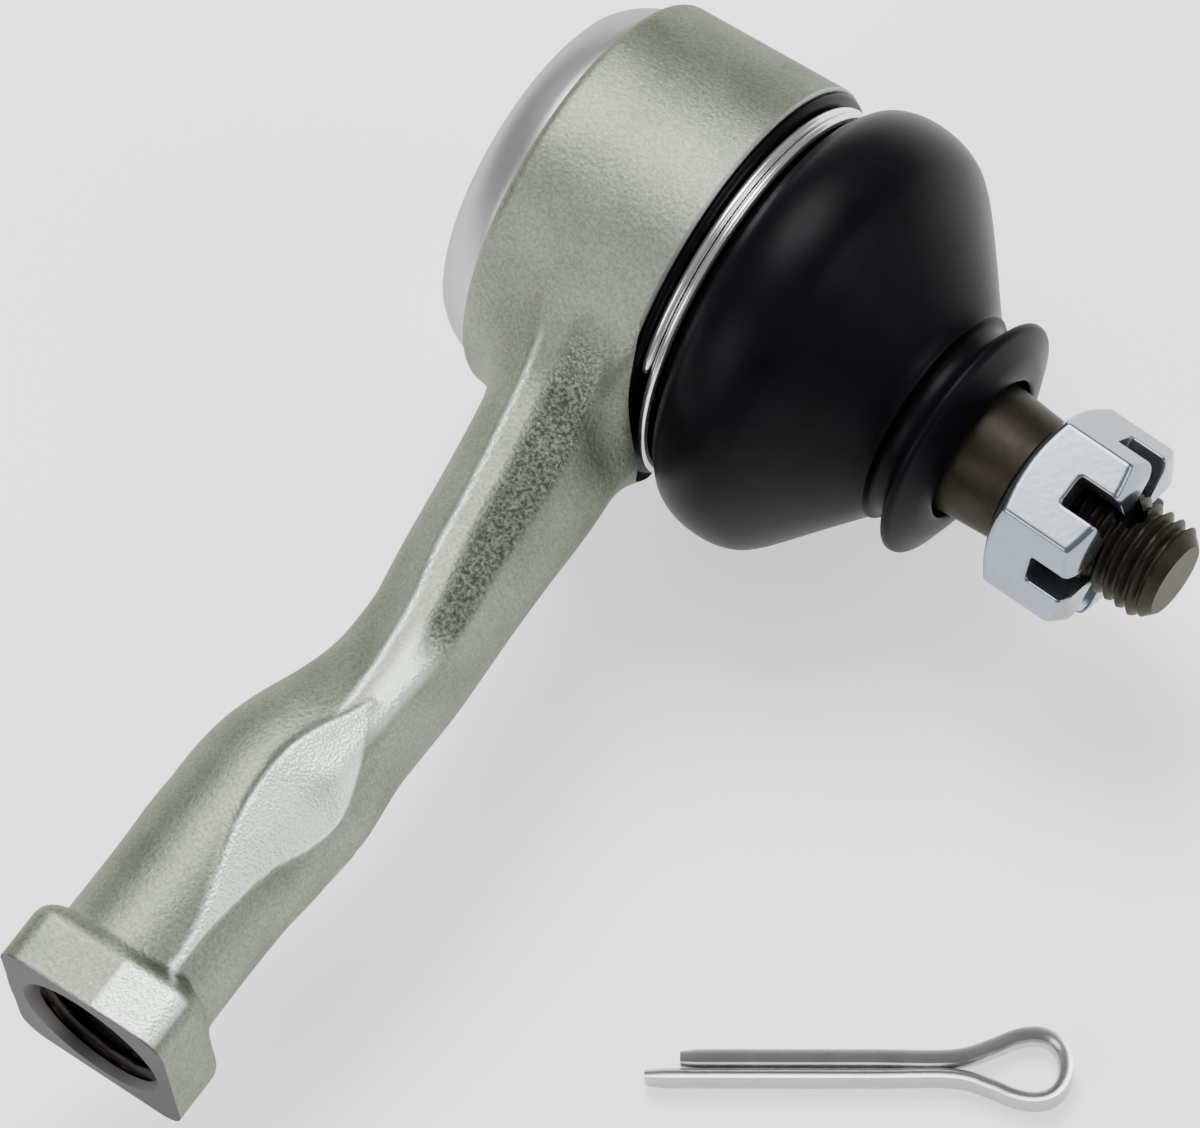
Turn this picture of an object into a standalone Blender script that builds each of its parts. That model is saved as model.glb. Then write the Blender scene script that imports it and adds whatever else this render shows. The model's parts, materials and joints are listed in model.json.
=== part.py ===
"""Tie rod end: a forged ball-joint housing on a threaded arm, with its stud, seats, boot and fasteners.

Frame: +X runs along the housing's eye from its closed end to the stud, -Y along the arm to the tie rod,
+Z up with the part lying on its side. The origin is the middle of the cover plate's outer face.
"""
import math

import bmesh
import bpy
from mathutils import Matrix, Vector

MM = 0.001

# Eye of the housing, along X
EYE_RADIUS = 20.3 * MM
EYE_FRONT = 21.35 * MM
BAND_WIDTH = 3.9 * MM
BAND_RADIUS = 18.9 * MM
RIM_BACK = -0.9 * MM
RIM_INNER_RADIUS = 13.4 * MM
BOOT_SEAT_RADIUS = 16.6 * MM
BOOT_SEAT_END = 25.3 * MM
CAVITY_RADIUS = 15.3 * MM
CAVITY_END = 23.7 * MM
MOUTH_RADIUS = 9.3 * MM
MOUTH_END_RADIUS = 10.4 * MM

# Arm and its threaded end, along -Y
ARM_X = 16.9 * MM
ARM_LENGTH = 93.2 * MM
SQUARE_HALF = 8.9 * MM
SQUARE_LENGTH = 6.0 * MM
ROD_THREAD_RADIUS = 6.2 * MM
ROD_THREAD_DEPTH = 29.0 * MM
ROD_COUNTERSINK_RADIUS = 7.1 * MM

# Ball stud
BALL_X = 16.8 * MM
BALL_RADIUS = 11.0 * MM
NECK_RADIUS = 5.6 * MM
SHANK_RADIUS = 6.95 * MM
TAPER_START = 46.0 * MM
TAPER_END = 55.4 * MM
TAPER_END_RADIUS = 6.2 * MM
THREAD_RADIUS = 4.93 * MM
STUD_END = 71.6 * MM
STUD_TILT = math.radians(-3.6)
PIN_HOLE_X = 65.3 * MM
PIN_HOLE_RADIUS = 1.5 * MM
PIN_HOLE_TURN = math.radians(-16)

# Bearing parts
SEAT_GAP = 0.3 * MM
SEAT_OUTER_RADIUS = 15.0 * MM
COVER_THICKNESS = 2.4 * MM
COVER_STEP = 0.3 * MM
SPRING_THICKNESS = 0.9 * MM

# Boot, its ring and its clip
BOOT_SEAT_GAP = 0.3 * MM
BOOT_WIDEST = 21.8 * MM
BOOT_LIP_END = 49.6 * MM
BOOT_BORE_RADIUS = 7.35 * MM
LIP_RING_INNER = 7.4 * MM
LIP_RING_OUTER = 8.9 * MM
LIP_RING_START = 46.7 * MM
LIP_RING_END = 48.8 * MM
CLIP_WIRE_RADIUS = 0.45 * MM
CLIP_RADIUS = 18.85 * MM
CLIP_START = 22.6 * MM
CLIP_PITCH = 1.05 * MM
CLIP_TURNS = 1.55
CLIP_CUT_END = math.radians(150)

# Slotted nut
NUT_START = 55.8 * MM
NUT_END = 65.1 * MM
NUT_ACROSS_FLATS = 17.0 * MM
NUT_BORE_RADIUS = 5.25 * MM
NUT_SLOT_WIDTH = 3.1 * MM
NUT_SLOT_DEPTH = 4.3 * MM
NUT_TURN = math.radians(12.2)

# Cotter pin, lying loose beside the stud
PIN_LEG_RADIUS = 1.35 * MM
PIN_LEG_GAP = 0.15 * MM
PIN_TIP = Vector((53.2, -62.3, -20.4)) * MM
PIN_HEADING = math.radians(33.9)
PIN_LONG_LEG = 29.4 * MM
PIN_SHORT_LEG = 26.2 * MM
PIN_EYE_LENGTH = 8.4 * MM
PIN_EYE_HALF = 3.1 * MM

TURN_SEGMENTS = 40


def clear_scene():
    for obj in list(bpy.data.objects):
        bpy.data.objects.remove(obj, do_unlink=True)


def finish_material(name, color, metallic, roughness):
    material = bpy.data.materials.new(name)
    material.use_nodes = True
    shader = material.node_tree.nodes["Principled BSDF"]
    shader.inputs["Base Color"].default_value = (*color, 1.0)
    shader.inputs["Metallic"].default_value = metallic
    shader.inputs["Roughness"].default_value = roughness
    return material


def add_object(name, bm, material=None, sharp_angle=35):
    bmesh.ops.recalc_face_normals(bm, faces=bm.faces)
    mesh = bpy.data.meshes.new(name)
    bm.to_mesh(mesh)
    bm.free()
    mesh.shade_smooth()
    mesh.set_sharp_from_angle(angle=math.radians(sharp_angle))
    obj = bpy.data.objects.new(name, mesh)
    bpy.context.scene.collection.objects.link(obj)
    if material:
        mesh.materials.append(material)
    return obj


def turned(profile, segments=TURN_SEGMENTS, ring=False):
    """Turn a list of (x, radius) points about the X axis; a ring's profile closes on itself."""
    bm = bmesh.new()
    rings = []
    for x, radius in profile:
        if radius < 1e-7:
            rings.append([bm.verts.new((x, 0.0, 0.0))])
            continue
        angles = [2 * math.pi * i / segments for i in range(segments)]
        rings.append([bm.verts.new((x, radius * math.cos(a), radius * math.sin(a))) for a in angles])
    pairs = list(zip(rings, rings[1:]))
    if ring:
        pairs.append((rings[-1], rings[0]))
    for first, second in pairs:
        for i in range(segments):
            j = (i + 1) % segments
            corners = [first[i % len(first)], first[j % len(first)],
                       second[j % len(second)], second[i % len(second)]]
            bm.faces.new(list(dict.fromkeys(corners)))
    return bm


def arc_points(center_x, center_r, radius, start, end, count):
    """Points of an arc in the (x, radius) plane, with angles in degrees from +X."""
    points = []
    for i in range(count + 1):
        a = math.radians(start + (end - start) * i / count)
        points.append((center_x + radius * math.cos(a), center_r + radius * math.sin(a)))
    return points


def boolean(target, operand, operation):
    operand.hide_render = True
    operand.display_type = "WIRE"
    modifier = target.modifiers.new(operand.name, "BOOLEAN")
    modifier.operation = operation
    modifier.object = operand
    modifier.solver = "EXACT"


def tilt_about_ball(angle):
    ball = Matrix.Translation((BALL_X, 0, 0))
    return ball @ Matrix.Rotation(angle, 4, "Z") @ ball.inverted()


def move_origin(obj, point):
    """Put the object's origin on its joint and leave its shape where it is."""
    obj.data.transform(Matrix.Translation(-point))
    obj.location = point


def seat_on_stud(obj, distance):
    """Tilt a piece with the stud, with its origin on the stud's axis."""
    matrix = tilt_about_ball(STUD_TILT)
    obj.data.transform(matrix)
    move_origin(obj, matrix @ Vector((distance, 0, 0)))


# Housing -------------------------------------------------------------------------------------------

def eye_profile():
    rim = [(RIM_BACK, 0.0), (RIM_BACK, 15.6 * MM)]
    rounded = arc_points(2.0 * MM, 15.8 * MM, 2.9 * MM, 172, 100, 4)
    band = [(BAND_WIDTH - 0.1 * MM, BAND_RADIUS), (BAND_WIDTH, BAND_RADIUS + 0.5 * MM)]
    forged = [(BAND_WIDTH + 0.9 * MM, EYE_RADIUS - 0.1 * MM), (EYE_FRONT - 0.45 * MM, EYE_RADIUS)]
    front = [(EYE_FRONT, EYE_RADIUS - 0.4 * MM), (EYE_FRONT, BOOT_SEAT_RADIUS)]
    seat = [(BOOT_SEAT_END - 0.4 * MM, BOOT_SEAT_RADIUS), (BOOT_SEAT_END, BOOT_SEAT_RADIUS - 0.4 * MM)]
    return rim + rounded + band + forged + front + seat + [(BOOT_SEAT_END, 0.0)]


def arm_section(y, center_x, half_x, half_z, power, count=24):
    """One closed section of the arm, an ellipse that squares up as the power grows."""
    points = []
    for i in range(count):
        a = 2 * math.pi * (i + 0.5) / count
        c, s = math.cos(a), math.sin(a)
        x = center_x + half_x * math.copysign(abs(c) ** (2 / power), c)
        z = half_z * math.copysign(abs(s) ** (2 / power), s)
        points.append((x, y, z))
    return points


def arm_form():
    square = SQUARE_HALF
    stations = [
        (-9.0, 11.5, 8.8, 12.0, 2.6),
        (-18.0, 12.9, 8.2, 10.8, 2.4),
        (-20.6, 14.2, 8.0, 10.1, 2.3),
        (-24.0, 15.9, 7.7, 9.4, 2.1),
        (-30.0, 17.4, 6.6, 8.2, 2.0),
        (-38.0, 18.6, 5.5, 7.2, 1.9),
        (-48.0, 19.4, 4.7, 6.6, 1.9),
        (-54.0, 18.6, 5.4, 6.9, 2.0),
        (-60.0, 17.4, 7.3, 7.8, 2.0),
        (-65.0, 16.8, 8.2, 8.2, 2.0),
        (-74.0, 16.5, 8.4, 8.4, 2.0),
    ]
    sections = [arm_section(y * MM, x * MM, a * MM, b * MM, p) for y, x, a, b, p in stations]
    flange_back = -ARM_LENGTH + SQUARE_LENGTH
    sections.append(arm_section(flange_back + 0.8 * MM, ARM_X, square - 0.3 * MM, square - 0.3 * MM, 2.0))
    sections.append(arm_section(flange_back - 0.5 * MM, ARM_X, square, square, 5.0))
    sections.append(arm_section(-ARM_LENGTH, ARM_X, square, square, 5.0))
    bm = bmesh.new()
    rings = [[bm.verts.new(p) for p in section] for section in sections]
    for first, second in zip(rings, rings[1:]):
        for i in range(len(first)):
            j = (i + 1) % len(first)
            bm.faces.new([first[i], first[j], second[j], second[i]])
    bm.faces.new(rings[0])
    bm.faces.new(rings[-1])
    return bm


def cavity_form():
    """The hollow for the seats and the ball, open at the rim and at the stud's mouth."""
    past = 2 * MM
    profile = [(RIM_BACK - past, 0.0), (RIM_BACK - past, RIM_INNER_RADIUS)]
    profile += [(0.0, RIM_INNER_RADIUS), (0.0, CAVITY_RADIUS), (CAVITY_END, CAVITY_RADIUS)]
    profile += [(CAVITY_END, MOUTH_RADIUS), (BOOT_SEAT_END, MOUTH_END_RADIUS)]
    profile += [(BOOT_SEAT_END + past, MOUTH_END_RADIUS), (BOOT_SEAT_END + past, 0.0)]
    return turned(profile)


def rod_thread_form():
    """The tie rod's threaded hole: a countersink, the tapped length and the drill's cone."""
    past = 2 * MM
    sink = ROD_COUNTERSINK_RADIUS - ROD_THREAD_RADIUS
    profile = [(-past, 0.0), (-past, ROD_COUNTERSINK_RADIUS), (0.0, ROD_COUNTERSINK_RADIUS)]
    profile += [(sink, ROD_THREAD_RADIUS), (ROD_THREAD_DEPTH, ROD_THREAD_RADIUS)]
    profile += [(ROD_THREAD_DEPTH + 3.4 * MM, 0.0)]
    bm = turned(profile, 32)
    place = Matrix.Translation((ARM_X, -ARM_LENGTH, 0)) @ Matrix.Rotation(math.pi / 2, 4, "Z")
    bmesh.ops.transform(bm, matrix=place, verts=bm.verts)
    return bm


def build_housing(material):
    housing = add_object("housing", turned(eye_profile(), 56), material)
    boolean(housing, add_object("arm_form", arm_form()), "UNION")
    boolean(housing, add_object("cavity_form", cavity_form()), "DIFFERENCE")
    boolean(housing, add_object("rod_thread_form", rod_thread_form()), "DIFFERENCE")
    return housing


# Bearing -------------------------------------------------------------------------------------------

def build_cover_plate(material):
    edge = CAVITY_RADIUS - SEAT_GAP
    face = RIM_INNER_RADIUS - COVER_STEP
    profile = [(0.0, 0.0), (0.0, face), (COVER_STEP, face), (COVER_STEP, edge), (COVER_THICKNESS, edge)]
    return add_object("cover_plate", turned(profile + [(COVER_THICKNESS, 0.0)]), material)


def build_disc_spring(material):
    """A dished washer between the cover plate and the lower seat."""
    inner, outer = 5.0 * MM, 12.0 * MM
    start = COVER_THICKNESS + 0.2 * MM
    dish = 0.6 * MM
    profile = [(start + dish, inner), (start, outer), (start + SPRING_THICKNESS, outer)]
    profile += [(start + dish + SPRING_THICKNESS, inner)]
    return add_object("disc_spring", turned(profile, ring=True), material)


def seat_cup(front, back, count):
    """The ball side of a seat between two distances along X."""
    radius = BALL_RADIUS + SEAT_GAP
    start, end = (math.degrees(math.acos((x - BALL_X) / radius)) for x in (front, back))
    return arc_points(BALL_X, 0.0, radius, start, end, count)


def build_lower_seat(material):
    back = COVER_THICKNESS + SPRING_THICKNESS + 1.15 * MM
    front = BALL_X - 0.6 * MM
    profile = [(front, SEAT_OUTER_RADIUS)] + seat_cup(front, BALL_X - 10.6 * MM, 8)
    profile += [(back, profile[-1][1]), (back, SEAT_OUTER_RADIUS)]
    seat = add_object("lower_seat", turned(profile, ring=True), material)
    move_origin(seat, Vector((BALL_X, 0, 0)))
    return seat


def build_upper_seat(material):
    back = BALL_X - 0.2 * MM
    front = CAVITY_END - SEAT_GAP
    profile = [(front, SEAT_OUTER_RADIUS)] + seat_cup(front, back, 6) + [(back, SEAT_OUTER_RADIUS)]
    return add_object("upper_seat", turned(profile, ring=True), material)


# Stud, nut and pin ---------------------------------------------------------------------------------

def build_ball_stud(material):
    neck_angle = math.degrees(math.asin(NECK_RADIUS / BALL_RADIUS))
    profile = [(BALL_X - BALL_RADIUS * math.cos(math.radians(20)), 0.0)]
    profile += arc_points(BALL_X, 0.0, BALL_RADIUS, 160, neck_angle, 14)
    profile += [(33.0 * MM, NECK_RADIUS), (38.0 * MM, SHANK_RADIUS), (TAPER_START, SHANK_RADIUS)]
    profile += [(TAPER_END, TAPER_END_RADIUS), (TAPER_END, THREAD_RADIUS - 0.5 * MM)]
    profile += [(56.3 * MM, THREAD_RADIUS), (STUD_END - 1.0 * MM, THREAD_RADIUS)]
    profile += [(STUD_END, THREAD_RADIUS - 1.0 * MM), (STUD_END, 0.0)]
    stud = add_object("ball_stud", turned(profile, 40), material)
    hole = bmesh.new()
    bmesh.ops.create_cone(hole, cap_ends=True, segments=14, radius1=PIN_HOLE_RADIUS,
                          radius2=PIN_HOLE_RADIUS, depth=4 * THREAD_RADIUS)
    place = Matrix.Translation((PIN_HOLE_X, 0, 0)) @ Matrix.Rotation(PIN_HOLE_TURN, 4, "X")
    bmesh.ops.transform(hole, matrix=place, verts=hole.verts)
    hole_form = add_object("pin_hole_form", hole)
    hole_form.data.transform(tilt_about_ball(STUD_TILT))
    boolean(stud, hole_form, "DIFFERENCE")
    seat_on_stud(stud, BALL_X)
    return stud


def build_castle_nut(material):
    corner = NUT_ACROSS_FLATS / math.sqrt(3)
    flat = NUT_ACROSS_FLATS / 2
    bm = bmesh.new()
    rings = []
    for x in (NUT_START, NUT_END):
        angles = [NUT_TURN + math.pi / 3 * i for i in range(6)]
        rings.append([bm.verts.new((x, corner * math.cos(a), corner * math.sin(a))) for a in angles])
    for i in range(6):
        j = (i + 1) % 6
        bm.faces.new([rings[0][i], rings[0][j], rings[1][j], rings[1][i]])
    bm.faces.new(rings[0])
    bm.faces.new(rings[1])
    nut = add_object("castle_nut", bm, material, 20)
    past = 1 * MM
    slope = math.tan(math.radians(30))
    reach = corner + past
    rise = (reach - flat) * slope
    chamfer = [(NUT_START, 0.0), (NUT_START, flat - 0.2 * MM), (NUT_START + rise, reach)]
    chamfer += [(NUT_END - rise, reach), (NUT_END, flat - 0.2 * MM), (NUT_END, 0.0)]
    bore = [(NUT_START - past, 0.0), (NUT_START - past, NUT_BORE_RADIUS)]
    bore += [(NUT_END + past, NUT_BORE_RADIUS), (NUT_END + past, 0.0)]
    forms = [("nut_chamfer_form", turned(chamfer), "INTERSECT"), ("nut_bore_form", turned(bore, 32), "DIFFERENCE")]
    slot_length = 2 * NUT_SLOT_DEPTH
    for i in range(3):
        slot = bmesh.new()
        bmesh.ops.create_cube(slot, size=1.0)
        turn = NUT_TURN + math.pi / 6 + math.pi / 3 * i
        size = Matrix.Diagonal((slot_length, 4 * flat, NUT_SLOT_WIDTH, 1.0))
        place = Matrix.Translation((NUT_END, 0, 0)) @ Matrix.Rotation(turn, 4, "X") @ size
        bmesh.ops.transform(slot, matrix=place, verts=slot.verts)
        forms.append((f"nut_slot_form_{i + 1}", slot, "DIFFERENCE"))
    for name, form, operation in forms:
        operand = add_object(name, form)
        operand.data.transform(tilt_about_ball(STUD_TILT))
        boolean(nut, operand, operation)
    seat_on_stud(nut, NUT_START)
    return nut


def pin_path():
    """Centre line of the bent wire, tip to tip, with +X from the legs to the eye."""
    side = -PIN_LEG_RADIUS / 2 - PIN_LEG_GAP / 2
    eye_start = PIN_LONG_LEG
    points = [(0.0, side), (PIN_LONG_LEG * 0.5, side), (eye_start - 1.2 * MM, side)]
    count = 14
    for i in range(1, count):
        t = i / count
        x = eye_start + PIN_EYE_LENGTH * math.sin(math.pi * t)
        y = (PIN_LEG_RADIUS / 2 - PIN_EYE_HALF) * math.sin(2 * math.pi * t) + side * math.cos(math.pi * t)
        points.append((x, y))
    points += [(eye_start - 1.2 * MM, -side), (PIN_LONG_LEG * 0.6, -side)]
    points += [(PIN_LONG_LEG - PIN_SHORT_LEG, -side)]
    return points


def build_cotter_pin(material):
    """A wire folded into an eye, with its two legs side by side."""
    path = [Vector((x, y, 0.0)) for x, y in pin_path()]
    sides = 10
    bm = bmesh.new()
    rings = []
    for i, point in enumerate(path):
        ahead = path[min(i + 1, len(path) - 1)] - path[max(i - 1, 0)]
        across = Vector((0, 0, 1)).cross(ahead.normalized())
        ring = []
        for k in range(sides):
            a = 2 * math.pi * k / sides
            offset = across * (PIN_LEG_RADIUS / 2 * math.cos(a)) + Vector((0, 0, PIN_LEG_RADIUS * math.sin(a)))
            ring.append(bm.verts.new(point + offset))
        rings.append(ring)
    for first, second in zip(rings, rings[1:]):
        for k in range(sides):
            j = (k + 1) % sides
            bm.faces.new([first[k], first[j], second[j], second[k]])
    bm.faces.new(rings[0])
    bm.faces.new(rings[-1])
    pin = add_object("cotter_pin", bm, material)
    pin.data.transform(Matrix.Rotation(PIN_HEADING, 4, "Z"))
    pin.location = PIN_TIP
    return pin


# Boot ----------------------------------------------------------------------------------------------

def boot_profile():
    """The boot's section, round its outside from the bead to the lip and back along its inside."""
    inner = BOOT_SEAT_RADIUS + BOOT_SEAT_GAP
    outer = [(21.7, inner / MM), (21.7, 18.9), (21.95, 19.2), (22.05, 18.1), (24.95, 18.1), (25.2, 19.3)]
    outer += [(26.3, 20.9), (28.2, 21.6), (30.2, BOOT_WIDEST / MM), (32.4, 21.6), (34.4, 20.8)]
    outer += [(36.0, 19.4), (39.8, 15.2), (43.3, 11.3), (44.2, 10.8), (44.5, 10.1), (45.1, 9.8)]
    outer += [(45.8, 10.2), (46.3, 11.4), (47.4, 12.1), (48.7, 11.8), (49.4, 11.0)]
    outer += [(BOOT_LIP_END / MM, 10.2)]
    bore = BOOT_BORE_RADIUS / MM
    groove = (LIP_RING_OUTER + SEAT_GAP) / MM
    inside = [(BOOT_LIP_END / MM, bore), (49.1, bore), (49.1, groove), (46.4, groove), (46.4, bore)]
    inside += [(44.8, bore), (43.2, 8.2), (41.6, 10.2), (38.2, 14.2), (35.0, 17.6), (33.4, 18.9)]
    inside += [(30.4, 19.7), (27.6, 19.2), (26.0, 17.6), (25.7, inner / MM)]
    return [(x * MM, r * MM) for x, r in outer + inside]


def lean(distance):
    """Share of the stud's tilt that the boot takes up at a distance along the eye's axis."""
    t = min(max((distance - 26 * MM) / (18 * MM), 0.0), 1.0)
    return t * t * (3 - 2 * t)


def build_dust_boot(material):
    bm = turned(boot_profile(), ring=True)
    for vert in bm.verts:
        vert.co = tilt_about_ball(STUD_TILT * lean(vert.co.x)) @ vert.co
    return add_object("dust_boot", bm, material)


def build_boot_lip_ring(material):
    profile = [(LIP_RING_START, LIP_RING_INNER), (LIP_RING_START, LIP_RING_OUTER)]
    profile += [(LIP_RING_END, LIP_RING_OUTER), (LIP_RING_END, LIP_RING_INNER)]
    ring = add_object("boot_lip_ring", turned(profile, ring=True), material)
    seat_on_stud(ring, BALL_X)
    return ring


def build_boot_clip(material):
    """Round wire wound a little over two turns, in the boot's groove."""
    count = int(CLIP_TURNS * 28)
    curve = bpy.data.curves.new("boot_clip", "CURVE")
    curve.dimensions = "3D"
    curve.bevel_depth = CLIP_WIRE_RADIUS
    curve.bevel_resolution = 1
    curve.use_fill_caps = True
    spline = curve.splines.new("POLY")
    spline.points.add(count)
    for i in range(count + 1):
        turn = CLIP_TURNS * i / count
        a = CLIP_CUT_END - 2 * math.pi * turn
        x = CLIP_START + CLIP_PITCH * turn
        spline.points[i].co = (x, CLIP_RADIUS * math.cos(a), CLIP_RADIUS * math.sin(a), 1.0)
    clip = bpy.data.objects.new("boot_clip", curve)
    curve.materials.append(material)
    bpy.context.scene.collection.objects.link(clip)
    return clip


def main():
    clear_scene()
    forged = finish_material("forged_steel", (0.42, 0.45, 0.38), 0.6, 0.55)
    pressed = finish_material("pressed_steel", (0.45, 0.45, 0.44), 0.9, 0.4)
    spring = finish_material("spring_steel", (0.25, 0.25, 0.26), 0.9, 0.35)
    bearing = finish_material("bearing_plastic", (0.85, 0.83, 0.76), 0.0, 0.45)
    stud = finish_material("stud_steel", (0.16, 0.14, 0.11), 0.8, 0.45)
    rubber = finish_material("boot_rubber", (0.02, 0.02, 0.025), 0.0, 0.4)
    wire = finish_material("clip_wire", (0.75, 0.76, 0.76), 1.0, 0.2)
    zinc = finish_material("nut_zinc", (0.62, 0.68, 0.72), 0.9, 0.3)
    pin = finish_material("pin_zinc", (0.7, 0.71, 0.7), 0.95, 0.3)
    build_housing(forged)
    build_cover_plate(pressed)
    build_disc_spring(spring)
    build_lower_seat(bearing)
    build_upper_seat(bearing)
    build_ball_stud(stud)
    build_dust_boot(rubber)
    build_boot_lip_ring(spring)
    build_boot_clip(wire)
    build_castle_nut(zinc)
    build_cotter_pin(pin)


main()
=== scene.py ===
"""Looks of the tie rod end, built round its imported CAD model.

Lengths in the modelling functions are in millimetres; meshes are made in metres.
+X runs along the eye to the stud, -Y along the arm to its threaded end, +Z up.
"""
import json
import math

import bmesh
import bpy
import numpy as np
from mathutils import Matrix, Vector


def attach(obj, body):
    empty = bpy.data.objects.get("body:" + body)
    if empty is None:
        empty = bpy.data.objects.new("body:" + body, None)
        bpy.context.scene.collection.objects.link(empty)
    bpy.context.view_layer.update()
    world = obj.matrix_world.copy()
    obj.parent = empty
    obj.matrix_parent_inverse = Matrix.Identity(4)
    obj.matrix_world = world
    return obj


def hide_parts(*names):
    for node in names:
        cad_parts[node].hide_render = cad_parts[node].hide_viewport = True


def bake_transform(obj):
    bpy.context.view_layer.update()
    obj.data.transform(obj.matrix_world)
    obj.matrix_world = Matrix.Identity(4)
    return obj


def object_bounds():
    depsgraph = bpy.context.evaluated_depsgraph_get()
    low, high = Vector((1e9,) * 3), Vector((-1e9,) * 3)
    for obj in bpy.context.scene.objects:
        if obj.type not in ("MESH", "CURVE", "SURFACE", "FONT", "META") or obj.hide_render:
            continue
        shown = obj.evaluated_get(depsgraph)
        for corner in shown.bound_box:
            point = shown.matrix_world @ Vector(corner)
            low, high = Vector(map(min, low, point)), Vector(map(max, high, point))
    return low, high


MM = 0.001
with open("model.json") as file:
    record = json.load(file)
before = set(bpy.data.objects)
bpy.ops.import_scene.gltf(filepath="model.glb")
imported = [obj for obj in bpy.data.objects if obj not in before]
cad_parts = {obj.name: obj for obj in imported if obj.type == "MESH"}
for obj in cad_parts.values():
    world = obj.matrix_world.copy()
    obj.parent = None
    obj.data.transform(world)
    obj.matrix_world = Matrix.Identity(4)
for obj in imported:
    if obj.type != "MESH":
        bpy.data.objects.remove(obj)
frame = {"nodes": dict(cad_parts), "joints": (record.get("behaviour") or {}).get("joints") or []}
cad_low, cad_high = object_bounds()

# The ball joint, from the record
joints = {joint["name"]: joint for joint in frame["joints"]}
BALL_X = joints["stud_tilt"]["pos_m"][0] / MM
STUD_AXIS = Vector(joints["stud_spin"]["axis"]).normalized()
STUD_TILT = math.atan2(STUD_AXIS.y, STUD_AXIS.x)
FLOOR_Z = cad_low.z - 0.0001

# Housing, in millimetres
EYE_RADIUS = 20.3
EYE_FRONT = 21.35  # machined face round the boot's seat
EYE_DRAFT = 0.012  # growth of the radius per millimetre of length
EYE_ROUNDING = 1.1
RIM_END = -0.9  # the rim rolled over the cover plate
RIM_BORE = 13.4
BAND_WIDTH = 3.9  # machined band at the closed end
BAND_RADIUS = 18.9
CAVITY_RADIUS = 15.3
BOOT_SEAT_RADIUS = 16.6
BOOT_SEAT_END = 25.3
NECK_NEAR = -6
NECK_FAR = -64
NECK_RIGHT = 24.35
NECK_DRAFT = math.radians(25)
BARREL_X = 16.6
BARREL_NEAR = -47
ARM_X = 16.9
ARM_END = -93.2
SQUARE_HALF = 8.9
SQUARE_CORNER = 2.6
SQUARE_BACK = -87.2
PAD_TURN = math.radians(53)
PAD_NEAR = -55.5
PAD_DISTANCE = 8.3

# The tapped hole in the arm's end
HOLE_RADIUS = 6.95
HOLE_PITCH = 1.5
HOLE_THREAD_DEPTH = 0.75
SINK_RADIUS = 7.35


# Mesh helpers ---------------------------------------------------------------------------------------

def mesh_object(name, verts, faces):
    """A mesh object from points in millimetres."""
    mesh = bpy.data.meshes.new(name)
    mesh.from_pydata((np.asarray(verts, float) * MM).tolist(), [], faces)
    mesh.shade_smooth()
    obj = bpy.data.objects.new(name, mesh)
    bpy.context.scene.collection.objects.link(obj)
    return obj


def point_outward(obj):
    """Turn every face of a closed mesh to face out."""
    bm = bmesh.new()
    bm.from_mesh(obj.data)
    bmesh.ops.recalc_face_normals(bm, faces=bm.faces)
    bm.to_mesh(obj.data)
    bm.free()


def ring_faces(rows, columns):
    """Quads between rows of points, each row running round a ring."""
    faces = []
    for i in range(rows - 1):
        for j in range(columns):
            k = (j + 1) % columns
            faces.append((i * columns + j, i * columns + k, (i + 1) * columns + k, (i + 1) * columns + j))
    return faces


def tube_faces(rows, columns):
    """The same quads, with a flat cap at each end."""
    first = tuple(range(columns))
    last = tuple(range((rows - 1) * columns, rows * columns))
    return ring_faces(rows, columns) + [first, last]


def turned(name, profile, segments=128, smooth_angle=30, ring=False):
    """Turn (x, radius) points about the X axis, with flat ends or, for a ring, a closed section."""
    angles = np.linspace(0, 2 * math.pi, segments, endpoint=False)
    verts = [(x, r * math.cos(a), r * math.sin(a)) for x, r in profile for a in angles]
    rows = len(profile)
    if ring:
        faces = ring_faces(rows, segments)
        last = (rows - 1) * segments
        for j in range(segments):
            k = (j + 1) % segments
            faces.append((last + j, last + k, k, j))
    else:
        faces = tube_faces(rows, segments)
    obj = mesh_object(name, verts, faces)
    point_outward(obj)
    obj.data.set_sharp_from_angle(angle=math.radians(smooth_angle))
    return obj


def smooth_line(points, steps):
    """A smooth curve through the points, by Catmull-Rom spans."""
    p = [np.array(q, float) for q in points]
    p = [2 * p[0] - p[1]] + p + [2 * p[-1] - p[-2]]
    out = []
    for i in range(1, len(p) - 2):
        for s in range(steps):
            t = s / steps
            out.append(0.5 * (2 * p[i] + (p[i + 1] - p[i - 1]) * t
                              + (2 * p[i - 1] - 5 * p[i] + 4 * p[i + 1] - p[i + 2]) * t * t
                              + (3 * p[i] - p[i - 1] - 3 * p[i + 1] + p[i + 2]) * t ** 3))
    out.append(p[-2])
    return out


def combine(target, operand, operation):
    """Join or cut one mesh with another, and drop the second."""
    modifier = target.modifiers.new("combine", "BOOLEAN")
    modifier.operation = operation
    modifier.object = operand
    modifier.solver = "MANIFOLD"
    graph = bpy.context.evaluated_depsgraph_get()
    mesh = bpy.data.meshes.new_from_object(target.evaluated_get(graph))
    target.modifiers.clear()
    target.data = mesh
    bpy.data.objects.remove(operand)


def with_stud(obj):
    """Lean a piece with the stud about the ball's centre."""
    ball = Matrix.Translation((BALL_X * MM, 0, 0))
    obj.data.transform(ball @ Matrix.Rotation(STUD_TILT, 4, "Z") @ ball.inverted())


# Fields: shapes as signed distances, meshed where they are zero --------------------------------------

def smooth_min(a, b, k):
    """The union of two fields, with a fillet about k wide between them."""
    h = np.clip(0.5 + 0.5 * (b - a) / k, 0, 1)
    return b + (a - b) * h - k * h * (1 - h)


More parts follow.
